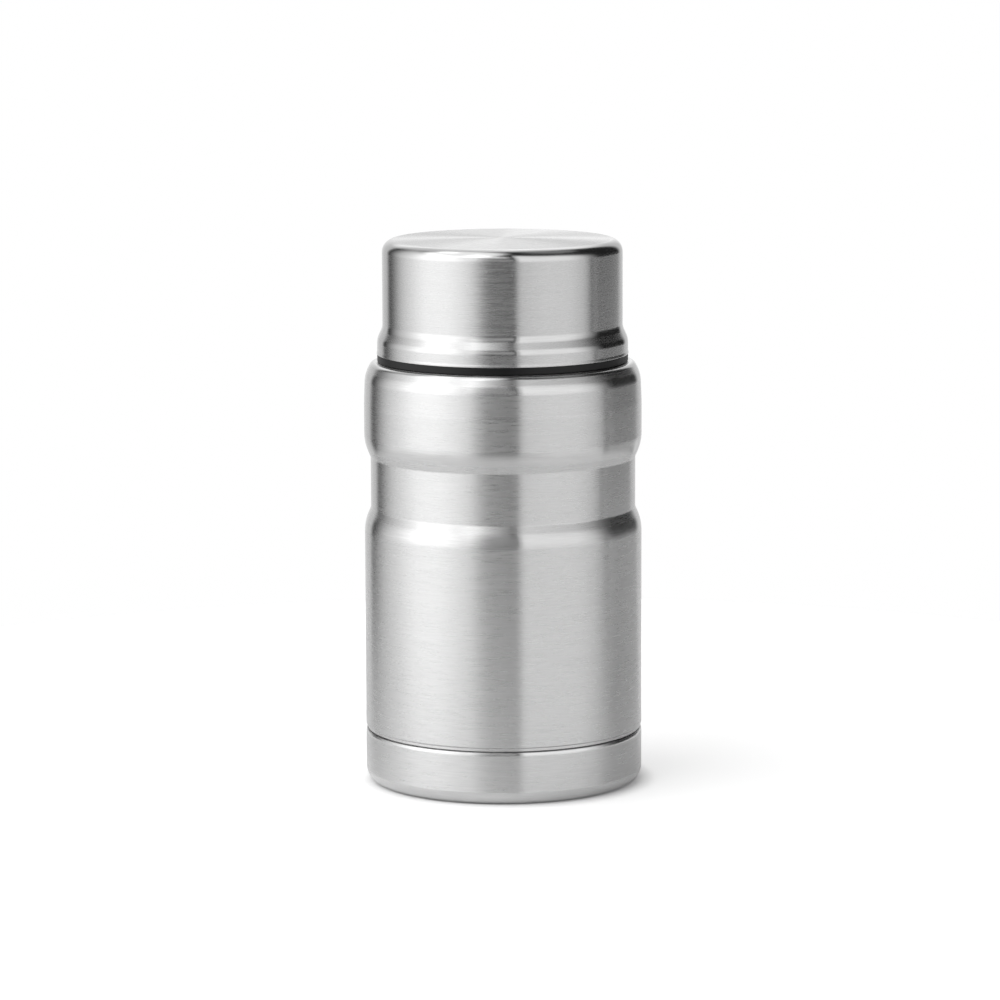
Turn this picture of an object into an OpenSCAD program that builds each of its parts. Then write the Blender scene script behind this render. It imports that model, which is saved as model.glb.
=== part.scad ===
// Insulated food jar: a double-walled steel vessel, a screw stopper with a
// pressure valve and a screw-on steel lid that doubles as a cup.
// Millimetres, +Z up, the origin at the centre of the standing ring on the table.

/* [Vessel] */
// Diameter of the body
body_d = 90; // [84:0.5:100]
// Height of the shoulder that the lid closes on
body_h = 137.7; // [128:0.1:160]
// Thickness of the outer steel sheet
shell_t = 0.6; // [0.4:0.1:0.8]
// Height over which the shoulder draws in
shoulder_h = 13.3; // [11:0.1:16]
// Height of the steeper edge at the top of the shoulder
shoulder_edge_h = 4.4; // [3.5:0.1:6]
// How far that edge leans in on each side
shoulder_edge_in = 2.4; // [2:0.1:3]
// Depth of the waist on each side
waist_in = 2.05; // [1:0.05:3]
// Distance from the shoulder down to the waist
waist_drop = 31.1; // [28:0.1:50]
// Height of the straight part of the waist
waist_h = 16.6; // [8:0.1:20]
// Height of the slope at each end of the waist
waist_slope_h = 4.7; // [3:0.1:7]

/* [Base] */
// Height of the base cup
base_h = 17.3; // [14:0.1:24]
// Thickness of the base cup's sheet
base_t = 0.6; // [0.4:0.1:0.8]
// Radius of the base cup's lower edge
base_edge_r = 4.5; // [3:0.1:6]
// How far the base cup's upper edge leans into the groove
base_lip_in = 0.28; // [0.1:0.02:0.3]
// Width of the standing ring
foot_w = 5; // [3:0.5:10]
// Depth of the recess inside the standing ring
foot_recess = 1.4; // [0.5:0.1:3]
// Depth of the groove above the base cup
groove_in = 1.25; // [1:0.05:1.5]
// Height of the vacuum floor above the table
vacuum_floor_z = 6; // [5:0.1:8]

/* [Liner] */
// Gap between the liner and the shell at the waist
liner_gap = 3.85; // [2:0.05:5]
// Thickness of the liner's sheet
liner_t = 0.5; // [0.3:0.1:0.6]
// Height of the food cavity's floor above the vacuum floor
floor_gap = 4; // [3.4:0.1:6]
// Thickness of the reflective foil around the liner
foil_t = 0.15; // [0.1:0.05:0.3]
// Height of the neck above the shoulder
neck_h = 18.3; // [17:0.1:22]
// Gap between the two walls of the neck
neck_gap = 1.9; // [1:0.1:2.5]

/* [Threads] */
// Pitch of both threads
pitch = 4; // [3.6:0.1:4.4]
// Height of a thread ridge
ridge_h = 1; // [0.8:0.05:1.1]
// Width of a ridge where it meets its wall
ridge_w = 2; // [1.6:0.1:2.2]
// Radial clearance between a ridge and the wall it faces
thread_gap = 0.3; // [0.2:0.05:0.4]
// Ridge pieces on the neck, each a sixth of a turn
neck_ridges = 7; // [5:1:7]
// Ridge pieces in the lid
lid_ridges = 6; // [4:1:6]
// Ridge pieces inside the mouth
mouth_ridges = 6; // [4:1:6]
// Ridge pieces on the stopper
stopper_ridges = 5; // [3:1:5]

/* [Lid] */
// Width of the flat shoulder that shows around the closed lid
ledge_w = 2; // [1:0.1:3]
// Height of the lid from its cut edge to the edge of its top
lid_h = 36.7; // [35:0.1:50]
// Flare of the lid's rim on each side
lid_flare = 1.75; // [1:0.05:2.5]
// Height of the straight part of that rim
lid_rim_h = 4.6; // [3:0.1:7]
// Height of the slope above it
lid_slope_h = 3.9; // [3:0.1:6]
// Radius of the edge around the top
lid_edge_r = 4; // [2:0.1:6]
// Rise of the crowned top
lid_crown = 0.6; // [0.2:0.1:1.5]
// Thickness of the lid's sheet
lid_t = 0.5; // [0.4:0.1:0.7]
// Thickness of the thread ring inside the lid
ring_t = 1.65; // [1.2:0.05:2.5]
// Height of the rubber band under the cut edge
band_h = 2.3; // [1.5:0.1:3.5]
// Gap between a closed seal and its seat
seat_gap = 0.3; // [0.2:0.05:0.5]
// Thickness of the silicone washers
washer_t = 1.5; // [1:0.1:1.8]

/* [Stopper] */
// Thickness of the stopper's wall
stopper_t = 2; // [1.5:0.1:3]
// How far the head reaches over the rim on each side
head_lap = 1.5; // [1.2:0.1:1.6]
// Height of the head
head_h = 10.7; // [9:0.1:11]
// Depth of the stopper below the rim
stopper_depth = 18; // [16:0.1:20]
// Thickness of the stopper's floor
stopper_floor_t = 3; // [2.5:0.1:4]
// Number of finger grooves around the head
head_grooves = 24; // [12:1:36]
// Thickness of the cap on the head
cap_t = 2.2; // [1.8:0.1:3]

/* [Valve] */
// Diameter of the pressure button
button_d = 16; // [14:0.1:18]
// Height of the button
button_h = 6.3; // [5:0.1:8]
// Height that the button stands above the cap
button_rise = 0.8; // [0.4:0.1:1.2]
// Travel of the button down to its stop
valve_travel = 2.2; // [1.5:0.1:2.6]
// Diameter of the valve's stem
stem_d = 3; // [2.4:0.1:3.4]
// Diameter of the valve's seal
valve_seal_d = 11; // [9:0.1:12]
// Thickness of the valve's seal
valve_seal_t = 1.4; // [1:0.1:1.8]
// Diameter of the spring wire
wire_d = 0.9; // [0.7:0.05:1]
// Turns of the spring
spring_turns = 6.5; // [4:0.5:8]

/* [Hidden] */
$fn = 96;

// Largest angle that one straight piece of a rounded corner spans
arc_step = 9;
// A corner flatter than this is left as it is
flat_half_angle = 89.99;
// Play between a sliding or turning piece and its guide
slide_gap = 0.35;
// Clearance between a loose ring and what it lies around
ring_gap = 0.3;
// Visible seam between two pieces that are pressed together
seam = 0.1;
// How far a thread ridge is rooted in its wall
ridge_root = 0.2;
// A full turn holds six ridge pieces with a small gap after each
ridges_per_turn = 6;
ridge_span = 57;

// Corner radii of the sheet metal and the mouldings
soft_r = 40;
blend_r = 14;
shoulder_blend_r = 9;
shoulder_r = 2;
bend_r = 1.5;
neck_bend_r = 1.2;
edge_r = 1;
small_edge_r = 0.5;

// Vessel
body_r = body_d / 2;
shoulder_draw = 0.35;
shoulder_z = body_h - shoulder_h;
waist_r = body_r - waist_in;
waist_top = body_h - waist_drop;
waist_z = waist_top - waist_h;
floor_rim_h = 3;
rim_z = body_h + neck_h;

// Base cup and the groove that its upper edge snaps into
base_in_r = body_r - base_t;
base_lip_h = 0.7;
base_lip_r = 3.6;
foot_r = body_r - base_edge_r - foot_w;
foot_slope = 2.8;
groove_r = body_r - groove_in;
groove_roll_h = 1.25;
groove_roll_r = 3;
groove_bend_r = 0.4;
groove_floor_h = 0.15;
groove_return_h = 2;

// Lid, closed on the shoulder
lid_rim_r = body_r - shoulder_edge_in - ledge_w;
lid_r = lid_rim_r - lid_flare;
lid_blend_r = 6;
lid_rim_blend_r = 5;
// The crown bends over the same run on both sides of its middle, up to the edge's own radius
crown_run = lid_r / 2 - lid_edge_r;
crown_r = crown_run / tan(atan(2 * lid_crown / lid_r) / 2);
band_z = body_h + seat_gap;
lid_z = band_z + band_h;
lid_rim_top = lid_z + lid_rim_h;
lid_top = lid_z + lid_h;
ring_out_r = lid_r - lid_t;
ring_r = ring_out_r - ring_t;
ring_collar_h = 2;
ring_lip_t = 1.2;
ring_lip_w = 0.7;
washer_z = rim_z + seat_gap;
ring_lip_z = washer_z + washer_t + seam;
ring_top = ring_lip_z + ring_lip_t;
lid_thread_lift = 2.3;
lid_thread_z = lid_z + lid_thread_lift;

// Neck and mouth: the neck's ridges lie half a pitch above those in the lid
neck_r = ring_r - thread_gap - ridge_h;
neck_thread_z = lid_thread_z + pitch / 2;
mouth_r = neck_r - shell_t - neck_gap - liner_t;
lip_r = 0.8;

// Liner
liner_r = waist_r - shell_t - liner_gap - liner_t;
liner_shoulder_drop = 9;
liner_shoulder_r = 8;
liner_shoulder_z = body_h - liner_shoulder_drop;
liner_throat_drop = 3.2;
liner_throat_r = 3;
liner_throat_z = body_h - liner_throat_drop;
cavity_z = vacuum_floor_z + floor_gap;
liner_floor_r = 5;
liner_floor_h = 6;
liner_weld_z = cavity_z + liner_floor_h;
foil_r = liner_r + liner_t;
foil_margin = 2.5;
foil_z = liner_weld_z + foil_margin;
foil_h = liner_shoulder_z - foil_margin - foil_z;

// Evacuation hole, its plug and the getter
hole_r = 1.5;
plug_r = 4;
plug_h = 1.2;
getter_r = 5.5;
getter_h = 1.2;
getter_cup_t = 0.3;
getter_z = cavity_z - liner_t - getter_h;

// Stopper, closed: its ridges lie half a pitch under those in the mouth
head_r = mouth_r + head_lap;
head_z = washer_z + washer_t;
head_top = head_z + head_h;
stopper_r = mouth_r - ridge_h - thread_gap;
stopper_z = rim_z - stopper_depth;
stopper_thread_lift = 5.8;
stopper_thread_z = stopper_z + stopper_thread_lift;
mouth_thread_z = stopper_thread_z + pitch / 2;
stopper_rise = pitch * mouth_ridges / ridges_per_turn;
hollow_r = stopper_r - stopper_t;
floor_z = stopper_z + stopper_floor_t;
cap_z = head_top - cap_t;
cap_seat_w = 2.4;
cap_r = hollow_r + cap_seat_w;
cap_rim_w = 3;
cap_dish = 0.8;
finger_r = 1.5;
finger_out = 0.7;
finger_lift = 1.5;
foam_gap = 0.6;
foam_z = floor_z + stopper_rise + foam_gap;
foam_h = cap_z - foam_gap - foam_z;

// Valve: the button slides in a well that stands on the stopper's floor
button_r = button_d / 2;
button_top = head_top + button_rise;
button_z = button_top - button_h;
button_skin = 1.2;
button_roof_t = 2;
button_ceiling = button_top - button_roof_t;
button_edge_r = 0.8;
well_r = button_r + slide_gap;
well_wall_t = 1.4;
well_out_r = well_r + well_wall_t;
well_lift = 10;
well_z = floor_z + well_lift;
well_floor_t = 2;
stop_w = 1;
stop_z = button_z - valve_travel - seam;
stem_r = stem_d / 2;
stem_gap = 0.5;
stem_bore_r = stem_r + stem_gap;
guide_t = 2.5;
guide_r = stem_bore_r + guide_t;
boss_t = 1;
boss_r = stem_r + boss_t;
valve_seal_r = valve_seal_d / 2;
valve_seat_w = 1;
valve_seat_r = valve_seal_r + valve_seat_w;
valve_seal_z = stopper_z + seam;
valve_seat_z = valve_seal_z + valve_seal_t + seam;
stem_foot_r = 2 * stem_r;
stem_foot_t = 1.1;
stem_z = valve_seal_z - stem_foot_t;
coil_r = (button_r - button_skin + boss_r) / 2;

// Two-dimensional helpers for rounded outlines.
// A vertex is [radius, height, corner radius].
function xy(v) = [v[0], v[1]];
function unit(v) = v / norm(v);
function cross2(a, b) = a[0] * b[1] - a[1] * b[0];
function left(d) = [-d[1], d[0]];
function heading(v, i) = unit(xy(v[i + 1]) - xy(v[i]));
function reversed(v) = [for (i = [len(v) - 1 : -1 : 0]) v[i]];

// The points of one rounded corner at p, on the way from a to b
function corner(a, p, b, r) =
    let (u = unit(a - p), v = unit(b - p), half = acos(u * v) / 2)
    r <= 0 || half > flat_half_angle ? [p] :
    let (
        start = p + u * r / tan(half),
        centre = p + unit(u + v) * r / sin(half),
        first = atan2(start[1] - centre[1], start[0] - centre[0]),
        sweep = (180 - 2 * half) * sign(cross2(p - a, b - p)),
        steps = max(4, ceil(abs(sweep) / arc_step))
    )
    [for (i = [0 : steps]) centre + r * [cos(first + sweep * i / steps), sin(first + sweep * i / steps)]];

// The whole outline with its corners rounded
function rounded(v) = concat(
    [xy(v[0])],
    [for (i = [1 : len(v) - 2]) each corner(xy(v[i - 1]), xy(v[i]), xy(v[i + 1]), v[i][2])],
    [xy(v[len(v) - 1])]
);

// The same outline moved to its left by t, with each corner radius to match
function shifted(v, t) = [
    for (i = [0 : len(v) - 1])
        let (
            before = heading(v, max(i - 1, 0)),
            after = heading(v, min(i, len(v) - 2)),
            p = xy(v[i]) + t * (left(before) + left(after)) / (1 + left(before) * left(after)),
            r = v[i][2] <= 0 ? 0 : max(0, v[i][2] - t * sign(cross2(before, after)))
        )
        [p[0], p[1], r]
];

// A turned sheet of thickness t on the right of an outline
module turned_sheet(v, t) {
    rotate_extrude() polygon(concat(rounded(v), reversed(rounded(shifted(v, -t)))));
}

// A plain ring with a rectangular section
module ring(r_in, r_out, z, h) {
    translate([0, 0, z]) difference() {
        cylinder(r = r_out, h = h);
        translate([0, 0, -h]) cylinder(r = r_in, h = 3 * h);
    }
}

// A thread made of short helical ridges: dir is 1 outside a wall and -1 inside it.
// The flanks run on into the wall, so that they cut its surface at a clear angle.
module thread(wall_r, z, count, dir) {
    crest = ridge_w / 4;
    foot = ridge_w / 2 + (ridge_w / 2 - crest) * ridge_root / ridge_h;
    lead = atan(pitch / (2 * PI * wall_r));
    for (i = [0 : count - 1])
        rotate([0, 0, (i + 0.5) * 360 / ridges_per_turn])
        translate([0, 0, z + (i + 0.5) * pitch / ridges_per_turn])
        rotate([lead, 0, 0])
        rotate([0, 0, -ridge_span / 2])
        rotate_extrude(angle = ridge_span) polygon([
            [wall_r - dir * ridge_root, -foot],
            [wall_r + dir * ridge_h, -crest],
            [wall_r + dir * ridge_h, crest],
            [wall_r - dir * ridge_root, foot]
        ]);
}

// A round wire along a helix between two heights
module coil(r, wire_r, z0, z1, turns) {
    sides = 8;
    rings_per_turn = 20;
    rings = ceil(turns * rings_per_turn);
    points = [
        for (i = [0 : rings], k = [0 : sides - 1])
            let (
                a = i * turns * 360 / rings,
                z = z0 + wire_r + (z1 - z0 - 2 * wire_r) * i / rings,
                b = k * 360 / sides,
                q = r + wire_r * cos(b)
            )
            [q * cos(a), q * sin(a), z + wire_r * sin(b)]
    ];
    tube = [
        for (i = [0 : rings - 1], k = [0 : sides - 1])
            let (m = (k + 1) % sides, p = i * sides, q = p + sides)
            [p + k, p + m, q + m, q + k]
    ];
    ends = [[for (k = [sides - 1 : -1 : 0]) k], [for (k = [0 : sides - 1]) rings * sides + k]];
    polyhedron(points, concat(tube, ends), convexity = 10);
}

// Vessel
module outer_shell() {
    color("silver") union() {
        turned_sheet([
            [neck_r, rim_z - liner_t, 0],
            [neck_r, body_h, neck_bend_r],
            [body_r - shoulder_edge_in, body_h, shoulder_r],
            [body_r - shoulder_draw, body_h - shoulder_edge_h, shoulder_blend_r],
            [body_r, shoulder_z, soft_r],
            [body_r, waist_top + waist_slope_h, blend_r],
            [waist_r, waist_top, bend_r],
            [waist_r, waist_z, bend_r],
            [body_r, waist_z - waist_slope_h, blend_r],
            [body_r, base_h + groove_roll_h, groove_roll_r],
            [groove_r, base_h + groove_floor_h, groove_bend_r],
            [base_in_r, base_h - groove_return_h, bend_r],
            [base_in_r, vacuum_floor_z, 0]
        ], shell_t);
        thread(neck_r, neck_thread_z, neck_ridges, 1);
    }
}

module shell_floor() {
    color("silver") turned_sheet([
        [base_in_r - shell_t, vacuum_floor_z + floor_rim_h, 0],
        [base_in_r - shell_t, vacuum_floor_z, bend_r],
        [hole_r, vacuum_floor_z, 0]
    ], shell_t);
}

module base_cup() {
    color("silver") turned_sheet([
        [body_r - base_lip_in, base_h, 0],
        [body_r, base_h - base_lip_h, base_lip_r],
        [body_r, 0, base_edge_r],
        [foot_r, 0, edge_r],
        [foot_r - foot_slope, foot_recess, bend_r],
        [0, foot_recess, 0]
    ], base_t);
}

module inner_liner() {
    color("gainsboro") union() {
        turned_sheet([
            [liner_r, liner_weld_z, 0],
            [liner_r, liner_shoulder_z, liner_shoulder_r],
            [mouth_r, liner_throat_z, liner_throat_r],
            [mouth_r, rim_z, lip_r],
            [neck_r, rim_z, 0]
        ], liner_t);
        thread(mouth_r, mouth_thread_z, mouth_ridges, -1);
    }
}

module liner_floor() {
    color("gainsboro") turned_sheet([
        [0, cavity_z, 0],
        [liner_r, cavity_z, liner_floor_r],
        [liner_r, liner_weld_z, 0]
    ], liner_t);
}

module foil_wrap() {
    color("lightsteelblue") ring(foil_r, foil_r + foil_t, foil_z, foil_h);
}

module getter() {
    color("dimgray") translate([0, 0, getter_z]) cylinder(r = getter_r, h = getter_h);
}

module getter_cup() {
    color("silver") difference() {
        translate([0, 0, getter_z - getter_cup_t])
            cylinder(r = getter_r + getter_cup_t, h = getter_h + getter_cup_t);
        translate([0, 0, getter_z])
            cylinder(r = getter_r, h = 2 * getter_h);
    }
}

module vacuum_plug() {
    color("slategray") translate([0, 0, vacuum_floor_z - plug_h]) union() {
        cylinder(r = plug_r, h = plug_h);
        cylinder(r = hole_r, h = plug_h + shell_t);
    }
}

// Stopper
module stopper_body() {
    color("#2b2b2d") difference() {
        union() {
            rotate_extrude() polygon(rounded([
                [stem_bore_r, valve_seat_z, 0],
                [valve_seat_r, valve_seat_z, 0],
                [valve_seat_r, stopper_z, 0],
                [stopper_r, stopper_z, edge_r],
                [stopper_r, head_z, 0],
                [head_r, head_z, small_edge_r],
                [head_r, head_top, edge_r],
                [cap_r + seam, head_top, 0],
                [cap_r + seam, cap_z, 0],
                [hollow_r, cap_z, 0],
                [hollow_r, floor_z, bend_r],
                [guide_r, floor_z, 0],
                [guide_r, well_z - well_floor_t, 0],
                [well_out_r, well_z - well_floor_t, 0],
                [well_out_r, cap_z, 0],
                [well_r, cap_z, 0],
                [well_r, stop_z, 0],
                [well_r - stop_w, stop_z, 0],
                [well_r - stop_w, well_z, 0],
                [stem_bore_r, well_z, 0]
            ]));
            thread(stopper_r, stopper_thread_z, stopper_ridges, 1);
        }
        for (i = [0 : head_grooves - 1])
            rotate([0, 0, i * 360 / head_grooves])
            translate([head_r + finger_out, 0, head_z + finger_lift])
            cylinder(r = finger_r, h = head_h);
    }
}

module stopper_cap() {
    color("#2b2b2d") rotate_extrude() polygon(rounded([
        [well_r, cap_z, 0],
        [cap_r, cap_z, 0],
        [cap_r, head_top, small_edge_r],
        [cap_r - cap_rim_w, head_top, small_edge_r],
        [cap_r - cap_rim_w - cap_dish, head_top - cap_dish, small_edge_r],
        [well_r + cap_rim_w + cap_dish, head_top - cap_dish, small_edge_r],
        [well_r + cap_rim_w, head_top, small_edge_r],
        [well_r, head_top, 0]
    ]));
}

module stopper_foam() {
    color("ivory") ring(well_out_r + foam_gap, hollow_r - foam_gap, foam_z, foam_h);
}

module stopper_seal() {
    color("gainsboro") ring(stopper_r + ring_gap, head_r, washer_z, washer_t - seam);
}

// Valve
module vent_button() {
    color("#d9d9d9") rotate_extrude() polygon(rounded([
        [stem_r, button_z + boss_t, 0],
        [boss_r, button_z + boss_t, 0],
        [boss_r, button_ceiling, 0],
        [button_r - button_skin, button_ceiling, 0],
        [button_r - button_skin, button_z, 0],
        [button_r, button_z, 0],
        [button_r, button_top, button_edge_r],
        [0, button_top, 0],
        [0, button_ceiling, 0],
        [stem_r, button_ceiling, 0]
    ]));
}

module vent_stem() {
    color("#d9d9d9") translate([0, 0, stem_z]) union() {
        cylinder(r = stem_r, h = button_ceiling - stem_z);
        cylinder(r = stem_foot_r, h = stem_foot_t);
    }
}

module vent_seal() {
    color("gainsboro") ring(stem_r, valve_seal_r, valve_seal_z, valve_seal_t);
}

module vent_spring() {
    color("silver") coil(coil_r, wire_d / 2, well_z, button_ceiling, spring_turns);
}

// Lid
module lid_shell() {
    color("silver") turned_sheet([
        [0, lid_top + lid_crown, 0],
        [lid_r / 2, lid_top + lid_crown, crown_r],
        [lid_r, lid_top, lid_edge_r],
        [lid_r, lid_rim_top + lid_slope_h, lid_blend_r],
        [lid_rim_r, lid_rim_top, lid_rim_blend_r],
        [lid_rim_r, lid_z, 0]
    ], lid_t);
}

module lid_thread_ring() {
    color("#1d1d1f") union() {
        rotate_extrude() polygon([
            [ring_r, lid_z],
            [lid_rim_r - lid_t, lid_z],
            [lid_rim_r - lid_t, lid_z + ring_collar_h],
            [ring_out_r, lid_z + ring_collar_h],
            [ring_out_r, ring_top],
            [ring_r - ring_lip_w, ring_top],
            [ring_r - ring_lip_w, ring_lip_z],
            [ring_r, ring_lip_z]
        ]);
        thread(ring_r, lid_thread_z, lid_ridges, -1);
    }
}

module lid_band() {
    color("#161617") rotate_extrude() polygon(rounded([
        [ring_r + ring_gap, band_z, 0],
        [lid_rim_r, band_z, small_edge_r],
        [lid_rim_r, lid_z - seam, 0],
        [ring_r + ring_gap, lid_z - seam, 0]
    ]));
}

module lid_gasket() {
    color("gainsboro") ring(head_r + slide_gap, ring_r - slide_gap, washer_z, washer_t);
}

outer_shell();
shell_floor();
base_cup();
inner_liner();
liner_floor();
foil_wrap();
getter();
getter_cup();
vacuum_plug();
stopper_body();
stopper_cap();
stopper_foam();
stopper_seal();
vent_button();
vent_stem();
vent_seal();
vent_spring();
lid_shell();
lid_thread_ring();
lid_band();
lid_gasket();
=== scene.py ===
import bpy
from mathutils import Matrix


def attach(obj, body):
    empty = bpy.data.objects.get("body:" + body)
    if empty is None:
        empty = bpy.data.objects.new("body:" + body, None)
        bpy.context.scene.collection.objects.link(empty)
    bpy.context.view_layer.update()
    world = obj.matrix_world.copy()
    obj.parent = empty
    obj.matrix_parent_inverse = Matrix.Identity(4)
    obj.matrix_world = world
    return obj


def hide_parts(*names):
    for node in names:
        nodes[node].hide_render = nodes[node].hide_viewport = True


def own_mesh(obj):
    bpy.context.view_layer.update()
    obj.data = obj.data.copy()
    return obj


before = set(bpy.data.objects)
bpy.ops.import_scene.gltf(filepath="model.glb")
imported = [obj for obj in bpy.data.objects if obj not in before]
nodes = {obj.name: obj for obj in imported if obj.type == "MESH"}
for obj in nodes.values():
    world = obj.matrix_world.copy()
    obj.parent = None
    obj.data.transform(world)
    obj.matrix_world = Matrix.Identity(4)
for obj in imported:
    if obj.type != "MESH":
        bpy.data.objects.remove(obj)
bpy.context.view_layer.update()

import math

import bpy
import numpy as np
from mathutils import Matrix, Vector

scene = bpy.context.scene
millimetre = 0.001
noiseLow, noiseHigh = 0.3, 0.7  # nearly all of a noise's values lie between these

# how a section's corners become points
profileWalk = {
    "arcStep": 4.0,  # degrees from point to point on a fillet of 2 mm or more
    "smallStep": 4, "stepFall": 1.5,  # a smaller fillet's step is smallStep - stepFall * f times that
    "straightStep": 8.0,  # mm from point to point on a straight run, unless its corner says less
    "leastFillet": 0.12,  # mm, because no pressed or moulded edge is quite sharp
    "samePoint": 0.002,  # mm, closer points are one
    "tightFillet": 6.0,  # mm, a fillet this small or smaller keeps the press's full gloss
    "bendFrom": 0.65, "bendTo": 1.25,  # mm along the arc: shorter bends are brushed like the wall
}


def walkProfile(corners, closed):
    # Walks corners of (radius, height, fillet, step) in millimetres, with the outside on the left.
    # An arc of radius f leaves its first run f * tan(turn / 2) before the corner, and its heading
    # goes evenly from the first run's heading to the second's; left of the heading is the normal.
    # The last column is how much of the press's gloss a bend keeps: tightFillet / f, at most 1,
    # times how far the arc's length f * turn is from bendFrom to bendTo, and 0 on a straight run.
    walk = profileWalk
    # a corner that gives no fillet or no step gets 0 and the plain step
    table = np.array([list(c) + [0, walk["straightStep"]][len(c) - 2:] for c in corners], float)
    spots, fillets, steps = table[:, :2], table[:, 2], table[:, 3]
    count = len(spots)
    arcs = []
    for k in range(count):
        before = spots[k] - spots[k - 1]
        after = spots[(k + 1) % count] - spots[k]
        if not closed and k == 0:
            before = after
        if not closed and k == count - 1:
            after = before
        before = before / np.hypot(*before)
        after = after / np.hypot(*after)
        first = math.atan2(before[1], before[0])
        turn = math.atan2(before[0] * after[1] - before[1] * after[0], before @ after)
        if abs(turn) < 1e-5:
            arcs.append(np.array([[spots[k][0], spots[k][1], first, 0]]))
            continue
        side = math.copysign(1, turn)
        fillet = max(fillets[k], walk["leastFillet"])
        start = spots[k] - before * fillet * math.tan(abs(turn) / 2)
        centre = start + side * fillet * np.array([-before[1], before[0]])
        arcStep = walk["arcStep"] * max(1, walk["smallStep"] - walk["stepFall"] * fillet)
        parts = max(3, math.ceil(math.degrees(abs(turn)) / arcStep))
        heading = first + turn * np.linspace(0, 1, parts + 1)
        left = np.stack([-np.sin(heading), np.cos(heading)], 1)
        longEnough = (fillet * abs(turn) - walk["bendFrom"]) / (walk["bendTo"] - walk["bendFrom"])
        gloss = min(1, walk["tightFillet"] / fillet) * min(1, max(0, longEnough))
        bend = gloss * np.sin(np.linspace(0, math.pi, len(heading))) ** 0.5
        arcs.append(np.column_stack([centre - side * fillet * left, heading, bend]))
    rows = []
    for k in range(count):
        rows.append(arcs[k])
        if closed or k < count - 1:
            leave, meet = arcs[k][-1], arcs[(k + 1) % count][0]
            length = np.hypot(*(meet - leave)[:2])
            pieces = math.ceil(length / max(steps[k], steps[(k + 1) % count]) - 1e-6)
            if pieces > 1:
                share = np.arange(1, pieces)[:, None] / pieces
                rows.append(np.column_stack([leave[:2] + share * (meet - leave)[:2],
                                             np.full(pieces - 1, leave[2]), np.zeros(pieces - 1)]))
    rows = np.concatenate(rows)
    apart = np.hypot(*np.diff(rows[:, :2], axis=0).T)
    rows = rows[np.concatenate([[True], apart > walk["samePoint"]])]
    if closed and np.hypot(*(rows[0] - rows[-1])[:2]) < walk["samePoint"]:
        rows = rows[:-1]
    run = np.concatenate([[0], np.cumsum(np.hypot(*np.diff(rows[:, :2], axis=0).T))])
    return rows[:, 0], rows[:, 1], -np.sin(rows[:, 2]), np.cos(rows[:, 2]), run, rows[:, 3]


def sheetCorners(outer, thickness):
    # A pressed sheet: the outer line, and the same line moved to its right by the thickness.
    # A corner moves along the sum of its two normals over 1 + their dot product; its fillet shrinks
    # on the inside of a bend and grows on the outside.
    lines = np.array([c[:3] for c in outer], float)
    spots = lines[:, :2]
    headings = np.diff(spots, axis=0)
    headings /= np.hypot(*headings.T)[:, None]
    before = headings[[0] + list(range(len(headings)))]
    after = headings[list(range(len(headings))) + [-1]]
    leftBefore = np.column_stack([-before[:, 1], before[:, 0]])
    leftAfter = np.column_stack([-after[:, 1], after[:, 0]])
    spread = 1 + (leftBefore * leftAfter).sum(1)
    moved = spots - thickness * (leftBefore + leftAfter) / spread[:, None]
    turn = np.sign(before[:, 0] * after[:, 1] - before[:, 1] * after[:, 0])
    fillets = np.where(lines[:, 2] > 0, np.maximum(0, lines[:, 2] + thickness * turn), 0)
    inner = [tuple(row) for row in np.column_stack([moved, fillets])[::-1]]
    if spots[-1][0] == 0:
        return inner + list(outer)
    return list(outer) + inner


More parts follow.
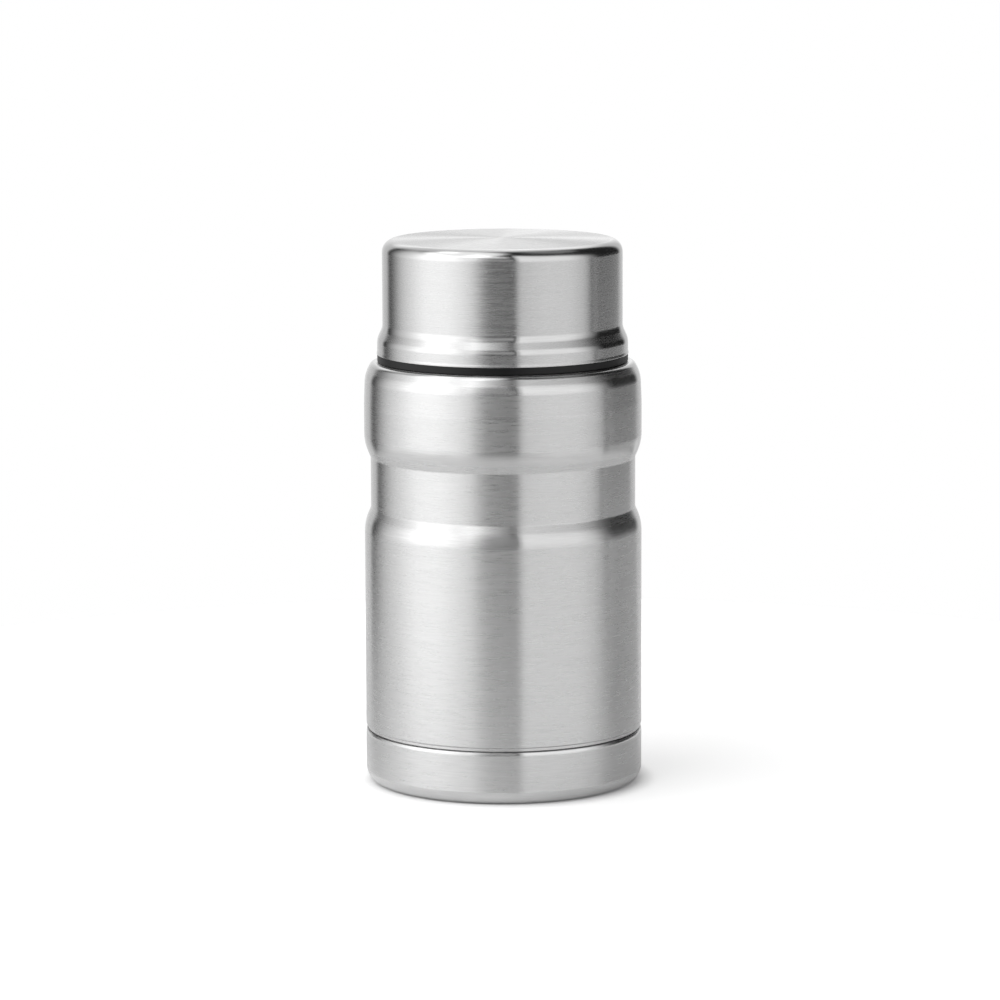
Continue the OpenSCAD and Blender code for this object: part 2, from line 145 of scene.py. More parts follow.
def turnedSurface(name, corners, segments=192, reshape=None):
    # point(s, a) = (r(s) cos a, r(s) sin a, z(s)) and normal(s, a) = (nr(s) cos a, nr(s) sin a, nz(s)).
    # reshape(a, r, z, nr) may move r and z; the normals then turn by what the grid's own normals turn.
    # Corners that go round the section the wrong way are taken from the other end.
    radii, heights = np.array([c[0] for c in corners]), np.array([c[1] for c in corners])
    area = (radii * np.roll(heights, -1) - np.roll(radii, -1) * heights).sum()
    if area > 0:
        corners = corners[::-1]
    closed = min(radii) > 0
    if not closed:
        ends = [k for k, c in enumerate(corners) if c[0] == 0]
        if ends[-1] - ends[0] == 1:
            corners = corners[ends[-1]:] + corners[:ends[0] + 1]
    radius, height, outward, upward, run, bend = walkProfile(corners, closed)
    angle = np.arange(segments) * 2 * math.pi / segments
    cosA, sinA = np.cos(angle), np.sin(angle)
    r, z = radius[:, None] + 0 * angle, height[:, None] + 0 * angle
    normal = np.stack([outward[:, None] * cosA, outward[:, None] * sinA, upward[:, None] + 0 * angle], -1)
    if reshape:
        plain = gridNormals(r, z, cosA, sinA, closed)
        r, z = reshape(angle[None, :], r, z, outward[:, None])
        normal += gridNormals(r, z, cosA, sinA, closed) - plain
        normal /= np.linalg.norm(normal, axis=-1, keepdims=True)
    points = np.stack([r * cosA, r * sinA, z], -1) * millimetre
    rows = len(radius)
    index = np.arange(rows * segments).reshape(rows, segments)
    below = np.roll(index, -1, 0) if closed else index[1:]
    above = index if closed else index[:-1]
    quads = np.stack([above, below, np.roll(below, -1, 1), np.roll(above, -1, 1)], -1)
    if closed:
        faces = quads.reshape(-1, 4).tolist()
        keep = index.ravel()
    else:
        # both ends lie on the axis: each end row is one point, with a fan of triangles to its neighbour
        keep = np.concatenate([index[0, :1], index[1:-1].ravel(), index[-1, :1]])
        place = np.zeros(rows * segments, int)
        place[keep] = np.arange(len(keep))
        firstFan = np.stack([0 * index[1] + index[0, 0], index[1], np.roll(index[1], -1)], -1)
        lastFan = np.stack([index[-2], 0 * index[1] + index[-1, 0], np.roll(index[-2], -1)], -1)
        faces = place[quads[1:-1]].reshape(-1, 4).tolist()
        faces += place[firstFan].tolist() + place[lastFan].tolist()
    marks = {"run": np.repeat(run * millimetre, segments)[keep], "bend": np.repeat(bend, segments)[keep]}
    return makeMesh(name, points.reshape(-1, 3)[keep], faces, normal.reshape(-1, 3)[keep], marks)


def gridNormals(r, z, cosA, sinA, closed):
    # The cross product of the two central differences of the grid, made one long
    points = np.stack([r * cosA, r * sinA, z], -1)
    down = np.roll(points, -1, 0) - np.roll(points, 1, 0)
    if not closed:
        down[0], down[-1] = points[1] - points[0], points[-1] - points[-2]
    around = np.roll(points, -1, 1) - np.roll(points, 1, 1)
    normal = np.cross(down, around)
    return normal / np.maximum(np.linalg.norm(normal, axis=-1, keepdims=True), 1e-9)


def makeMesh(name, points, faces, normals, marks):
    mesh = bpy.data.meshes.new(name)
    mesh.from_pydata(points.tolist(), [], faces)
    mesh.polygons.foreach_set("use_smooth", np.ones(len(mesh.polygons), bool))
    # run, the distance along the profile, lets a brushed finish follow the surface from wall to top,
    # and bend says where the press left its gloss
    for mark, values in marks.items():
        mesh.attributes.new(mark, "FLOAT", "POINT").data.foreach_set("value", values.astype(np.float32))
    mesh.normals_split_custom_set_from_vertices(normals.tolist())
    mesh.update()
    piece = bpy.data.objects.new(name, mesh)
    scene.collection.objects.link(piece)
    return piece


def tubeAlong(name, path, wireRadius, sides=16):
    # A round wire: point(t, b) = path(t) + w (cos b * side(t) + sin b * up(t)), closed by two end points
    tangent = np.gradient(path, axis=0)
    tangent /= np.linalg.norm(tangent, axis=1, keepdims=True)
    side = np.column_stack([path[:, 0], path[:, 1], 0 * path[:, 0]])
    side -= (side * tangent).sum(1, keepdims=True) * tangent
    side /= np.linalg.norm(side, axis=1, keepdims=True)
    up = np.cross(tangent, side)
    turn = np.arange(sides) * 2 * math.pi / sides
    normal = side[:, None] * np.cos(turn)[:, None] + up[:, None] * np.sin(turn)[:, None]
    rings = path[:, None] + wireRadius * normal
    points = np.concatenate([rings.reshape(-1, 3), path[:1], path[-1:]])
    normals = np.concatenate([normal.reshape(-1, 3), -tangent[:1], tangent[-1:]])
    index = np.arange(len(path) * sides).reshape(-1, sides)
    onward = np.roll(index, -1, 1)
    faces = np.stack([index[:-1], onward[:-1], onward[1:], index[1:]], -1).reshape(-1, 4).tolist()
    first, last = len(points) - 2, len(points) - 1
    faces += np.stack([first + 0 * index[0], onward[0], index[0]], -1).tolist()
    faces += np.stack([last + 0 * index[-1], index[-1], onward[-1]], -1).tolist()
    along = np.concatenate([[0], np.cumsum(np.linalg.norm(np.diff(path, axis=0), axis=1))])
    distance = np.concatenate([np.repeat(along, sides), along[:1], along[-1:]]) * millimetre
    return makeMesh(name, points * millimetre, faces, normals, {"run": distance})


# The form that all the threads share, in mm, with the degrees over which a ridge runs out. Each
# thread adds its wall's radius, where it starts, how many sixths of a turn it has, and its side:
# 1 stands out from a neck, -1 stands into a bore.
threadForm = {
    "pitch": 4, "height": 1, "foot": 2, "crest": 1, "taper": 8,
    "near": 0.01, "facing": 0.9,  # mm from the wall's radius, and the least of a normal's outward part
}


def threadRelief(thread):
    # A ridge that climbs one pitch a turn: its lift is 1 within half the crest's width of the helix,
    # falls to 0 at half the foot's width, and tapers to nothing over the first and last degrees.
    # Only points on the thread's own wall move: those near its radius that are facing its side.
    def reshape(angle, r, z, outward):
        near = np.abs(r - thread["wall"]) < thread["near"]
        onWall = near & (outward * thread["side"] > thread["facing"])
        lift = 0 * (r + angle)
        for wrap in range(2):  # the longest ridge passes the same angle twice
            walked = angle + wrap * 2 * math.pi
            away = np.abs(z - thread["start"] - thread["pitch"] * walked / (2 * math.pi))
            section = np.clip((thread["foot"] - 2 * away) / (thread["foot"] - thread["crest"]), 0, 1)
            end = thread["sixths"] * math.pi / 3
            taper = np.clip(np.minimum(walked, end - walked) / math.radians(thread["taper"]), 0, 1)
            lift = np.maximum(lift, section * section * (3 - 2 * section) * np.sqrt(taper))
        return r + thread["side"] * thread["height"] * lift * onWall, z
    return reshape


def linear(colour):
    # sRGB hex to linear light: c / 12.92 up to 0.04045, else ((c + 0.055) / 1.055) ** 2.4
    parts = [int(colour[k:k + 2], 16) / 255 for k in (1, 3, 5)]
    return [c / 12.92 if c <= 0.04045 else ((c + 0.055) / 1.055) ** 2.4 for c in parts] + [1]


def addNode(tree, kind, settings={}, links={}):
    # A setting goes to the node's option of that name, or else to its socket; links bring sockets in
    node = tree.nodes.new(kind)
    for name, value in settings.items():
        if isinstance(name, str) and name in node.bl_rna.properties:
            setattr(node, name, value)
        else:
            node.inputs[name].default_value = value
    for name, source in links.items():
        tree.links.new(source, node.inputs[name])
    return node


def newMaterial(name):
    material = bpy.data.materials.new(name)
    material.use_nodes = True
    material.node_tree.nodes.clear()
    return material, material.node_tree


def brushedSteel(name, look):
    # Stainless sheet brushed on a lathe: the lines run round the axis, so a light is drawn out
    # across them, up and down a wall and from the middle outwards on the top. The belt rides over
    # a tight bend, which keeps more of the gloss that the press gave it.
    material, tree = newMaterial(name)
    place = addNode(tree, "ShaderNodeTexCoord").outputs["Object"]
    xyz = addNode(tree, "ShaderNodeSeparateXYZ", {}, {"Vector": place})
    run = addNode(tree, "ShaderNodeAttribute", {"attribute_name": "run"}).outputs["Fac"]
    bend = addNode(tree, "ShaderNodeAttribute", {"attribute_name": "bend"}).outputs["Fac"]
    sheet = addNode(tree, "ShaderNodeCombineXYZ", {},
                    {"X": xyz.outputs["X"], "Y": xyz.outputs["Y"], "Z": run})
    layers = []
    for spacing, length in look["lines"]:
        # so many millimetres from line to line along the profile, and so long round the axis
        stretch = [1 / (size * millimetre) for size in (length, length, spacing)]
        drawn = addNode(tree, "ShaderNodeMapping", {"Scale": stretch}, {"Vector": sheet.outputs[0]})
        layers.append(addNode(tree, "ShaderNodeTexNoise", {"Scale": 1.0, "Detail": 1.0, "Roughness": 0.5},
                              {"Vector": drawn.outputs[0]}).outputs["Fac"])
    fine, broad = layers
    both = addNode(tree, "ShaderNodeMath", {"operation": "MULTIPLY_ADD", 1: look["broad"]},
                   {0: broad, 2: fine})
    contrast = addNode(tree, "ShaderNodeMapRange",
                       {"From Min": noiseLow + noiseLow * look["broad"],
                        "From Max": noiseHigh + noiseHigh * look["broad"]},
                       {"Value": both.outputs[0]})
    tint = addNode(tree, "ShaderNodeMix",
                   {"data_type": "RGBA", 6: linear(look["shade"]), 7: linear(look["colour"])},
                   {0: contrast.outputs[0]})
    wall = addNode(tree, "ShaderNodeMapRange",
                   {"From Min": noiseLow, "From Max": noiseHigh,
                    "To Min": look["roughness"] - look["spread"],
                    "To Max": look["roughness"] + look["spread"]},
                   {"Value": fine})
    rough = addNode(tree, "ShaderNodeMix", {"data_type": "FLOAT", 3: look["bendRoughness"]},
                    {0: bend, 2: wall.outputs[0]})
    relief = addNode(tree, "ShaderNodeBump", {"Strength": 1.0, "Distance": look["depth"] * millimetre},
                     {"Height": fine})
    tangent = addNode(tree, "ShaderNodeTangent", {"direction_type": "RADIAL", "axis": "Z"})
    # a quarter turn of the tangent lays the stretch of the lights across the lines
    shader = addNode(tree, "ShaderNodeBsdfPrincipled",
                     {"Metallic": 1.0, "Anisotropic": look["anisotropic"], "Anisotropic Rotation": 0.25},
                     {"Base Color": tint.outputs[2], "Roughness": rough.outputs[0],
                      "Normal": relief.outputs["Normal"], "Tangent": tangent.outputs[0]})
    addNode(tree, "ShaderNodeOutputMaterial", {}, {"Surface": shader.outputs[0]})
    return material


def grainedMaterial(name, look, spread=0.05):
    # A moulded, cast or sintered surface: one noise for its grain, and one slow noise for its shade
    # and for its roughness, which wanders by the spread
    material, tree = newMaterial(name)
    place = addNode(tree, "ShaderNodeTexCoord").outputs["Object"]
    grain = addNode(tree, look.get("pattern", "ShaderNodeTexNoise"),
                    {"Scale": 1 / (look["grain"] * millimetre)}, {"Vector": place})
    cloud = addNode(tree, "ShaderNodeTexNoise", {"Scale": 1 / (look["cloud"] * millimetre), "Detail": 3.0},
                    {"Vector": place})
    tint = addNode(tree, "ShaderNodeMix",
                   {"data_type": "RGBA", 6: linear(look["shade"]), 7: linear(look["colour"])},
                   {0: cloud.outputs["Fac"]})
    rough = addNode(tree, "ShaderNodeMapRange",
                    {"From Min": noiseLow, "From Max": noiseHigh,
                     "To Min": look["roughness"] - spread, "To Max": look["roughness"] + spread},
                    {"Value": cloud.outputs["Fac"]})
    bump = addNode(tree, "ShaderNodeBump", {"Strength": 1.0, "Distance": look["depth"] * millimetre},
                   {"Height": grain.outputs[0]})
    settings = {"Metallic": 0.0}
    settings.update(look.get("shader", {}))
    shader = addNode(tree, "ShaderNodeBsdfPrincipled", settings,
                     {"Base Color": tint.outputs[2], "Roughness": rough.outputs[0],
                      "Normal": bump.outputs["Normal"]})
    addNode(tree, "ShaderNodeOutputMaterial", {}, {"Surface": shader.outputs[0]})
    return material


def dress(piece, node, body, material):
    piece.data.materials.clear()
    piece.data.materials.append(material)
    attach(piece, body)
    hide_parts(node)


# Brushed stainless sheet. The grit's own lines are 0.05 mm apart, too fine to show, so they are drawn
# seven times as coarse. The lines are (mm from line to line, mm long), first the fine, then the broad.
shellFinish = {
    "colour": "#dfdfdf", "shade": "#d5d5d5", "roughness": 0.29, "spread": 0.03, "bendRoughness": 0.12,
    "anisotropic": 1.0, "depth": 0.002, "lines": [(0.35, 7), (0.9, 14)], "broad": 0.4}
# the lid is spun and brushed finer, so its lights are crisper; its colours are a darker copy of the
# shell's, painted shade that dims the lid's reflections
lidFinishShaded = dict(shellFinish, colour="#d7d7d7", shade="#cfcfcf", roughness=0.26, depth=0.0014)
# the base cup's colours are a lighter copy of the shell's, painted light that brightens the reflections on
# the jar's foot
baseFinishLit = dict(shellFinish, colour="#e1e1e1", shade="#d6d6d6", roughness=0.30)
# the liner is polished after brushing: its lines show less
linerFinish = dict(shellFinish, roughness=0.26, anisotropic=0.6)
# sheet as it leaves the rolls: greyer and duller
sheetFinish = dict(shellFinish, colour="#c4c4c2", shade="#a6a6a4", roughness=0.42, anisotropic=0.4)
# wire drawn through a die: smooth, with an even gloss
wireFinish = dict(shellFinish, colour="#c9c9c7", shade="#b5b5b3", roughness=0.22, anisotropic=0.0,
                  depth=0.004)

steelShell = brushedSteel("brushed_stainless_shell", shellFinish)
steelBase = brushedSteel("brushed_stainless_base_lit", baseFinishLit)
steelLid = brushedSteel("brushed_stainless_lid_shaded", lidFinishShaded)
steelLiner = brushedSteel("satin_stainless_liner", linerFinish)
steelSheet = brushedSteel("rolled_stainless_sheet", sheetFinish)
steelWire = brushedSteel("drawn_stainless_wire", wireFinish)

# moulded black polypropylene: a soft broad gloss over a spark-eroded grain
blackPolypropylene = grainedMaterial("moulded_black_polypropylene", {
    "colour": "#242426", "shade": "#1d1d1f", "roughness": 0.42, "grain": 0.35, "depth": 0.012, "cloud": 14})
# the stopper's finer grain; its black is a lighter copy of the ring's, a painted sheen for where the grain
# catches the light
litStopperPolypropylene = grainedMaterial("grained_black_polypropylene_lit", {
    "colour": "#2d2d2f", "shade": "#262628", "roughness": 0.5, "grain": 0.3, "depth": 0.018, "cloud": 18})
# the button's grey polypropylene: the same soft gloss on a smoother mould
greyPolypropylene = grainedMaterial("moulded_grey_polypropylene", {
    "colour": "#b4b5b6", "shade": "#abacad", "roughness": 0.4, "grain": 0.4, "depth": 0.008, "cloud": 10})
# pressed black silicone rubber: dark and dull, a faint bloom on its skin
blackRubber = grainedMaterial("pressed_black_rubber", {
    "colour": "#101011", "shade": "#0c0c0d", "roughness": 0.42, "grain": 0.25, "depth": 0.01, "cloud": 9,
    "shader": {"Specular IOR Level": 0.35}})
# cast silicone lets some light in, so its edges look milky
clearSilicone = grainedMaterial("cast_translucent_silicone", {
    "colour": "#d3d3cf", "shade": "#c6c6c1", "roughness": 0.38, "grain": 0.5, "depth": 0.006, "cloud": 8,
    "shader": {"Subsurface Weight": 0.25, "Subsurface Radius": (0.004, 0.004, 0.0035),
               "Subsurface Scale": 0.5}})
# poured polyurethane foam: its closed cells of a third of a millimetre are drawn twice as large
polyurethaneFoam = grainedMaterial("poured_polyurethane_foam", {
    "colour": "#efe6cc", "shade": "#e2d5b3", "roughness": 0.9, "grain": 0.7, "depth": 0.25, "cloud": 12,
    "pattern": "ShaderNodeTexVoronoi"})
# rolled aluminium foil, crinkled by hand round the liner
aluminiumFoil = grainedMaterial("crinkled_aluminium_foil", {
    "colour": "#dfe0e3", "shade": "#cfd0d3", "roughness": 0.24, "grain": 6, "depth": 0.35, "cloud": 20,
    "pattern": "ShaderNodeTexVoronoi", "shader": {"Metallic": 1.0}})
# sintered zirconium powder: a dark, porous metal
sinteredGetter = grainedMaterial("sintered_zirconium_powder", {
    "colour": "#5c5c5e", "shade": "#4a4a4c", "roughness": 0.72, "grain": 0.25, "depth": 0.05, "cloud": 3,
    "pattern": "ShaderNodeTexVoronoi", "shader": {"Metallic": 1.0}})
# a fused bead of sealing glass, smooth and grey
sealingGlass = grainedMaterial("fused_sealing_glass", {
    "colour": "#8e8f8c", "shade": "#7d7e7b", "roughness": 0.22, "grain": 1.5, "depth": 0.02, "cloud": 3})
print("materials made")


outerShell = {
    "corners": [  # radius, height, fillet, and the spacing of points on the run where it isn't plain
        (35.4, 155.5, 0), (35.4, 151, 0, 0.13), (35.4, 143.2, 0, 0.13),
        (35.4, 137.5, 1.2), (42.6, 137.5, 2), (44.65, 133.3, 9), (45, 124.4, 40),
        (45, 111.3, 14), (42.95, 106.6, 1.5), (42.95, 90, 1.5), (45, 85.3, 14),
        (45, 18.85, 0.3), (44.45, 18.5, 0.2), (44.45, 17.6, 0.2), (43.75, 17.25, 0.3), (44.4, 15.3, 1.5),
        (44.4, 6, 0)],
    "thickness": 0.6,
    "thread": dict(threadForm, wall=35.4, start=144.6, sixths=7, side=1),
}
piece = turnedSurface("steel_outer_shell", sheetCorners(outerShell["corners"], outerShell["thickness"]),
                      reshape=threadRelief(outerShell["thread"]))
dress(piece, "outer_shell", "vessel", steelShell)

baseCup = {
    "corners": [
        (44.72, 17.3, 0), (45, 16.6, 3.6), (45, 0, 4.5), (35.5, 0, 1), (32.7, 1.4, 1.5), (0, 1.4, 0)],
    "thickness": 0.6,
}
piece = turnedSurface("steel_base_cup", sheetCorners(baseCup["corners"], baseCup["thickness"]))
dress(piece, "base_cup", "vessel", steelBase)
print("outer shell and base cup made")


innerLiner = {
    "corners": [
        (38, 16, 0), (38, 128.7, 8), (32.4, 134.5, 3), (32.4, 144.2, 0, 0.13), (32.4, 151.6, 0, 0.13),
        (32.4, 156, 0.8), (35.4, 156, 0)],
    "thickness": 0.5,
    "thread": dict(threadForm, wall=32.4, start=145.8, sixths=6, side=-1),
}
piece = turnedSurface("steel_inner_liner", sheetCorners(innerLiner["corners"], innerLiner["thickness"]),
                      reshape=threadRelief(innerLiner["thread"]))
dress(piece, "inner_liner", "vessel", steelLiner)

linerFloor = {"corners": [(0, 10, 0), (38, 10, 5), (38, 16, 0)], "thickness": 0.5}
piece = turnedSurface("steel_liner_floor", sheetCorners(linerFloor["corners"], linerFloor["thickness"]))
dress(piece, "liner_floor", "vessel", steelLiner)
print("liner made")


lidShell = {
    "corners": [(0, 177.6, 0), (19.425, 177.6, 999), (38.85, 177, 4), (38.85, 148.8, 6), (40.6, 144.9, 5),
                (40.6, 141.1, 0.6), (40.75, 140.5, 0.3), (40.75, 140.1, 0.15)],
    "thickness": 0.5,
}
piece = turnedSurface("steel_lid_shell", sheetCorners(lidShell["corners"], lidShell["thickness"]))
dress(piece, "lid_shell", "lid", steelLid)

lidThreadRing = {
    "corners": [
        (36.7, 140.3, 0), (40.1, 140.3, 0), (40.1, 142.3, 0), (38.35, 142.3, 0.3), (38.35, 159.1, 0),
        (36, 159.1, 0), (36, 157.9, 0), (36.7, 157.9, 0), (36.7, 148.4, 0, 0.13), (36.7, 141.3, 0, 0.13)],
    "thread": dict(threadForm, wall=36.7, start=142.6, sixths=6, side=-1),
}
piece = turnedSurface("plastic_lid_thread_ring", lidThreadRing["corners"],
                      reshape=threadRelief(lidThreadRing["thread"]))
dress(piece, "lid_thread_ring", "lid", blackPolypropylene)

lidBand = {"corners": [(37, 137.65, 0.2), (40.6, 137.65, 0.4), (40.6, 140.05, 0.15), (37, 140.05, 0.2)]}
piece = turnedSurface("rubber_lid_band", lidBand["corners"])
dress(piece, "lid_band", "lid_rim", blackRubber)

lidGasket = {
    "corners": [(34.25, 156.3, 0.25), (36.35, 156.3, 0.25), (36.35, 157.8, 0.25), (34.25, 157.8, 0.25)],
}
piece = turnedSurface("silicone_lid_gasket", lidGasket["corners"])
dress(piece, "lid_gasket", "lid_washer", clearSilicone)
print("lid made")


stopperBody = {
    "corners": [
        (2, 139.6, 0), (6.5, 139.6, 0.15), (6.5, 138, 0.3), (31.1, 138, 1), (31.1, 142.4, 0, 0.16),
        (31.1, 148.6, 0, 0.16), (31.1, 157.8, 0.3), (33.9, 157.8, 0.5), (33.9, 158.6, 0, 0.25),
        (33.9, 161.2, 0, 0.25), (33.9, 168.5, 1), (31.6, 168.5, 0), (31.6, 166.3, 0), (29.1, 166.3, 0.3),
        (29.1, 141, 1.5), (4.5, 141, 0.3), (4.5, 149, 0.3), (9.75, 149, 0.3), (9.75, 166.3, 0),
        (8.35, 166.3, 0), (8.35, 160.7, 0), (7.35, 160.7, 0), (7.35, 151, 0.3), (2, 151, 0)],
    "thread": dict(threadForm, wall=31.1, start=143.8, sixths=5, side=1),
    # a round cutter's radius and its centre's radius; the cuts start at low and are full after fade,
    # and only the head's outside, past clear, is cut
    "fingers": {"count": 24, "cutter": 1.5, "centre": 34.6, "low": 159.3, "fade": 0.9, "clear": 31.7},
    "segments": 384,
}


def fingerGrooves(angle, r, z, fingers):
    # Upright round cuts of radius c centred at R: a point keeps its radius up to
    # R cos d - sqrt(c^2 - (R sin d)^2), where d is its angle from the nearest cut, and a cut's lower
    # end deepens along a quarter circle
    pitch = 2 * math.pi / fingers["count"]
    away = (angle + pitch / 2) % pitch - pitch / 2
    across = fingers["centre"] * np.sin(away)
    inside = np.maximum(fingers["cutter"] ** 2 - across ** 2, 0)
    floor = fingers["centre"] * np.cos(away) - np.sqrt(inside)
    deep = np.clip((z - fingers["low"]) / fingers["fade"], 0, 1)
    cut = np.where((inside > 0) & (r > fingers["clear"]), np.maximum(r - floor, 0), 0)
    return r - cut * np.sqrt(1 - (1 - deep) ** 2)


def stopperRelief(angle, r, z, outward):
    r, z = threadRelief(stopperBody["thread"])(angle, r, z, outward)
    return fingerGrooves(angle, r, z, stopperBody["fingers"]), z


piece = turnedSurface("plastic_stopper_body", stopperBody["corners"], stopperBody["segments"],
                      stopperRelief)
dress(piece, "stopper_body", "stopper", litStopperPolypropylene)

stopperCap = {
    "corners": [
        (8.35, 166.3, 0), (31.5, 166.3, 0), (31.5, 168.5, 0.5), (28.5, 168.5, 0.5), (27.7, 167.7, 0.5),
        (12.15, 167.7, 0.5), (11.35, 168.5, 0.5), (8.35, 168.5, 0.2)],
}
piece = turnedSurface("plastic_stopper_cap", stopperCap["corners"])
dress(piece, "stopper_cap", "stopper", litStopperPolypropylene)

stopperSeal = {
    "corners": [(31.4, 156.3, 0.25), (33.9, 156.3, 0.3), (33.9, 157.7, 0.3), (31.4, 157.7, 0.25)],
}
piece = turnedSurface("silicone_stopper_seal", stopperSeal["corners"])
dress(piece, "stopper_seal", "stopper_washer", clearSilicone)
print("stopper made")


ventButton = {
    "corners": [
        (0, 169.3, 0), (8, 169.3, 0.8), (8, 163, 0.2), (6.8, 163, 0.2), (6.8, 167.3, 0.3),
        (2.5, 167.3, 0.3), (2.5, 164, 0), (1.5, 164, 0), (1.5, 167.3, 0), (0, 167.3, 0)],
    "segments": 128,
}
piece = turnedSurface("plastic_vent_button", ventButton["corners"], ventButton["segments"])
dress(piece, "vent_button", "valve", greyPolypropylene)

ventStem = {
    "corners": [
        (0, 137, 0), (3, 137, 0.3), (3, 138.1, 0.2), (1.5, 138.1, 0.15), (1.5, 167.3, 0), (0, 167.3, 0)],
    "segments": 96,
}
piece = turnedSurface("plastic_vent_stem", ventStem["corners"], ventStem["segments"])
dress(piece, "vent_stem", "valve", greyPolypropylene)

ventSeal = {
    "corners": [(1.5, 138.1, 0), (5.5, 138.1, 0.4), (5.5, 139.5, 0.4), (1.5, 139.5, 0)],
    "segments": 128,
}
piece = turnedSurface("silicone_vent_seal", ventSeal["corners"], ventSeal["segments"])
dress(piece, "vent_seal", "valve", clearSilicone)

# a coil of round wire: path(t) = (c cos a, c sin a, z), with a and z climbing evenly
ventSpring = {
    "coil": 4.65, "wire": 0.9, "low": 151, "high": 167.3, "turns": 6.5, "travel": 2.2, "points": 400}
climb = np.linspace(0, 1, ventSpring["points"])
swing = climb * ventSpring["turns"] * 2 * math.pi
rise = ventSpring["high"] - ventSpring["low"] - ventSpring["wire"]
level = ventSpring["low"] + ventSpring["wire"] / 2 + climb * rise
path = np.column_stack([ventSpring["coil"] * np.cos(swing), ventSpring["coil"] * np.sin(swing), level])
piece = tubeAlong("steel_vent_spring", path, ventSpring["wire"] / 2)
dress(piece, "vent_spring", "stopper", steelWire)
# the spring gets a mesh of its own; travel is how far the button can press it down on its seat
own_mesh(piece)
print("valve made")


# pieces inside the walls that keep the frame's own shape
for node, material in {"foil_wrap": aluminiumFoil, "getter": sinteredGetter, "getter_cup": steelSheet,
                       "vacuum_plug": sealingGlass, "shell_floor": steelSheet,
                       "stopper_foam": polyurethaneFoam}.items():
    nodes[node].data.materials.clear()
    nodes[node].data.materials.append(material)


# The light comes from soft panels round the jar. Angles are in degrees: round the jar from its
# front, + to the right, and up from the table.
stage = {
    "floor": "#fafafa",
    "floorRadius": 0.34, "floorSides": 128, "floorRings": 16, "firstRing": 0.06, "ringPower": 1.5,
    # where it is seen directly the table also glows a little, so the ground stays white; round the
    # jar's foot the glow fades out between these two radii, and the contact shadow stays
    "glow": 0.42, "glowFrom": 0.042, "glowTo": 0.05,
    "ambient": 0.02,
    "panels": {  # from, to and how soft each is; low, high and how soft; rise of the top; strength
        "left bank": (-122.3, -24, 40.5, 30.4, -60, 44.2, 20, 23.6, -0.06, 0.91),
        "left core": (-92.5, -38, 35.2, 44.5, -9.3, 37.3, 11.6, 19.9, -0.24, 0.78),
        "right bank": (12.8, 93.7, 3.1, 28, -12.9, 42.6, 6, 19.7, -0.44, 0.64),
        "right core": (16.3, 78.2, 3, 30.9, -5.4, 49, 6, 19.9, -0.3, 0.44),
        "right foot": (27.2, 94, 39.9, 3, -60, -12.8, 10, 4, 0, 0.74),
        "right strip": (98.2, 153.2, 4.6, 8.6, -15.2, -6.6, 3.3, 3.1, 0, 0.71),
        "back wall": (150.9, 217.8, 13.2, 10.5, -60, 38.2, 20, 24.3, -0.39, 0.62),
        "back core": (169, 195.3, 13.3, 30.7, -60, 65.9, 20, 23.9, 0.05, 0.24),
        "back strip": (175.5, 181.5, 4, 4, 4, 46, 8, 12, 0, 0.22),
        "middle gap": (-31.3, 11.2, 9.8, 3, 4, 27.1, 6, 6, -0.17, 0.42),
        "front top": (-43.3, 8.4, 24, 12, 38.6, 56, 10, 12, -0.43, 1.36),
    },
    "rounds": {  # toward, height, radius, how soft, strength
        "overhead": (-66.4, 61.8, 26.5, 13.3, 1.22),
        "overhead side": (-109.2, 62.3, 3.6, 10, 1.1),
        "overhead back": (-168.8, 49.1, 25.5, 17, 0.69),
        "overhead right": (112.4, 65.1, 13, 12, 0.22),
    },
}

# the table is a disc: point(t, a) = radius * t ^ ringPower * (cos a, sin a, 0), t from firstRing to 1
sides = stage["floorSides"]
angle = np.arange(sides) * 2 * math.pi / sides
rings = np.linspace(stage["firstRing"], 1, stage["floorRings"]) ** stage["ringPower"] * stage["floorRadius"]
spots = rings[:, None, None] * np.stack([np.cos(angle), np.sin(angle), 0 * angle], -1)
disc = np.concatenate([np.zeros((1, 3)), spots.reshape(-1, 3)])
index = 1 + np.arange(len(rings) * sides).reshape(-1, sides)
onward = np.roll(index, -1, 1)
faces = np.stack([0 * index[0], index[0], onward[0]], -1).tolist()
faces += np.stack([index[:-1], index[1:], onward[1:], onward[:-1]], -1).reshape(-1, 4).tolist()
mesh = bpy.data.meshes.new("studio_floor")
mesh.from_pydata(disc.tolist(), [], faces)
floor = bpy.data.objects.new("studio_floor", mesh)
scene.collection.objects.link(floor)

material, tree = newMaterial("white_acrylic_table")
board = addNode(tree, "ShaderNodeBsdfDiffuse", {"Color": linear(stage["floor"])})
away = addNode(tree, "ShaderNodeVectorMath", {"operation": "LENGTH"},
               {0: addNode(tree, "ShaderNodeTexCoord").outputs["Object"]}).outputs["Value"]
below = addNode(tree, "ShaderNodeMapRange",
                {"From Min": stage["glowFrom"], "From Max": stage["glowTo"], "To Max": stage["glow"]},
                {"Value": away})
seen = addNode(tree, "ShaderNodeMath", {"operation": "MULTIPLY"},
               {0: below.outputs[0], 1: addNode(tree, "ShaderNodeLightPath").outputs["Is Camera Ray"]})
glow = addNode(tree, "ShaderNodeEmission", {"Color": (1, 1, 1, 1)}, {"Strength": seen.outputs[0]})
lit = addNode(tree, "ShaderNodeAddShader", {}, {0: board.outputs[0], 1: glow.outputs[0]})
addNode(tree, "ShaderNodeOutputMaterial", {}, {"Surface": lit.outputs[0]})
mesh.materials.append(material)


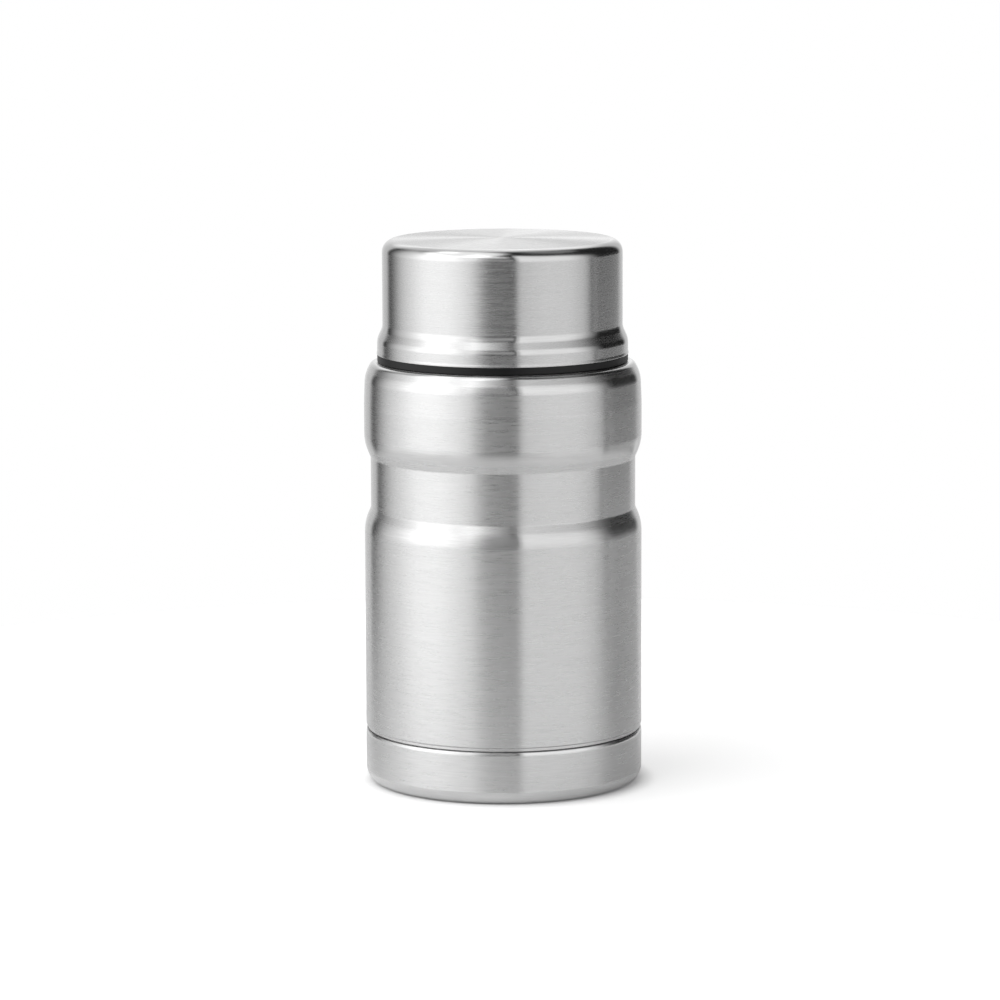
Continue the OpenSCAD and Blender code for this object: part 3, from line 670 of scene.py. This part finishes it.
def studioWorld(stage):
    # Each panel is a smooth step up and down round the jar times a smooth step up and down in
    # height, a round light one step in the angle from its middle; the brightness is their sum.
    world = bpy.data.worlds.new("studio")
    world.use_nodes = True
    tree = world.node_tree
    tree.nodes.clear()

    def maths(operation, first, second=0.0, third=0.0):
        # numbers go to the sockets, and other nodes' outputs are linked to them
        settings, links = {"operation": operation}, {}
        for slot, value in enumerate((first, second, third)):
            (settings if isinstance(value, (int, float)) else links)[slot] = value
        return addNode(tree, "ShaderNodeMath", settings, links).outputs[0]

    def step(value, edge, width, low=0.0, high=1.0):
        return addNode(tree, "ShaderNodeMapRange",
                       {"interpolation_type": "SMOOTHSTEP", "From Min": edge - width / 2,
                        "From Max": edge + width / 2, "To Min": low, "To Max": high},
                       {"Value": value}).outputs[0]

    direction = addNode(tree, "ShaderNodeTexCoord").outputs["Generated"]
    xyz = addNode(tree, "ShaderNodeSeparateXYZ", {}, {"Vector": direction}).outputs
    around = maths("ARCTAN2", xyz["X"], maths("MULTIPLY", xyz["Y"], -1.0))
    height = maths("ARCSINE", xyz["Z"])
    total = stage["ambient"]
    for *angles, climb, strength in stage["panels"].values():
        start, end, startSoft, endSoft, low, high, lowSoft, highSoft = np.radians(angles).tolist()
        aside = maths("WRAP", maths("SUBTRACT", around, (start + end) / 2), math.pi, -math.pi)
        across = maths("MULTIPLY", step(aside, (start - end) / 2, startSoft),
                       step(aside, (end - start) / 2, endSoft, 1, 0))
        belowTop = maths("SUBTRACT", height, maths("MULTIPLY", aside, climb))
        upright = maths("MULTIPLY", step(height, low, lowSoft), step(belowTop, high, highSoft, strength, 0))
        total = maths("ADD", maths("MULTIPLY", across, upright), total)
    for toward, up, radius, soft, strength in stage["rounds"].values():
        side, up = math.radians(toward), math.radians(up)
        middle = (math.sin(side) * math.cos(up), -math.cos(side) * math.cos(up), math.sin(up))
        near = addNode(tree, "ShaderNodeVectorMath", {"operation": "DOT_PRODUCT", 1: middle},
                       {0: direction})
        outer, inner = [math.cos(math.radians(max(radius + k * soft / 2, 0))) for k in (1, -1)]
        disc = step(near.outputs["Value"], (outer + inner) / 2, inner - outer, 0, strength)
        total = maths("ADD", disc, total)
    studio = addNode(tree, "ShaderNodeBackground", {"Color": (1, 1, 1, 1)}, {"Strength": total})
    white = addNode(tree, "ShaderNodeBackground", {"Color": (1, 1, 1, 1), "Strength": 1.0})
    ray = addNode(tree, "ShaderNodeLightPath").outputs["Is Camera Ray"]
    mix = addNode(tree, "ShaderNodeMixShader", {}, {0: ray, 1: studio.outputs[0], 2: white.outputs[0]})
    addNode(tree, "ShaderNodeOutputWorld", {}, {"Surface": mix.outputs[0]})
    return world


scene.world = studioWorld(stage)
scene.view_settings.view_transform = "Standard"

# metres from the jar, degrees above level, the height it looks at, and the lens in mm
view = {
    "distance": 1.5, "height": 8.71, "target": 0.09186, "lens": 166.0, "sensor": 36, "roll": -0.2,
    "shift": -0.00315}
rise = math.radians(view["height"])
spot = Vector((0, -view["distance"] * math.cos(rise), view["target"] + view["distance"] * math.sin(rise)))
camera = bpy.data.objects.new("camera", bpy.data.cameras.new("camera"))
scene.collection.objects.link(camera)
facing = (Vector((0, 0, view["target"])) - spot).to_track_quat("-Z", "Y").to_matrix()
rolled = facing @ Matrix.Rotation(math.radians(view["roll"]), 3, "Z")
camera.matrix_world = Matrix.Translation(spot) @ rolled.to_4x4()
camera.data.sensor_width = view["sensor"]
camera.data.lens = view["lens"]
camera.data.shift_x = view["shift"]
scene.camera = camera
print("floor, light and camera made")
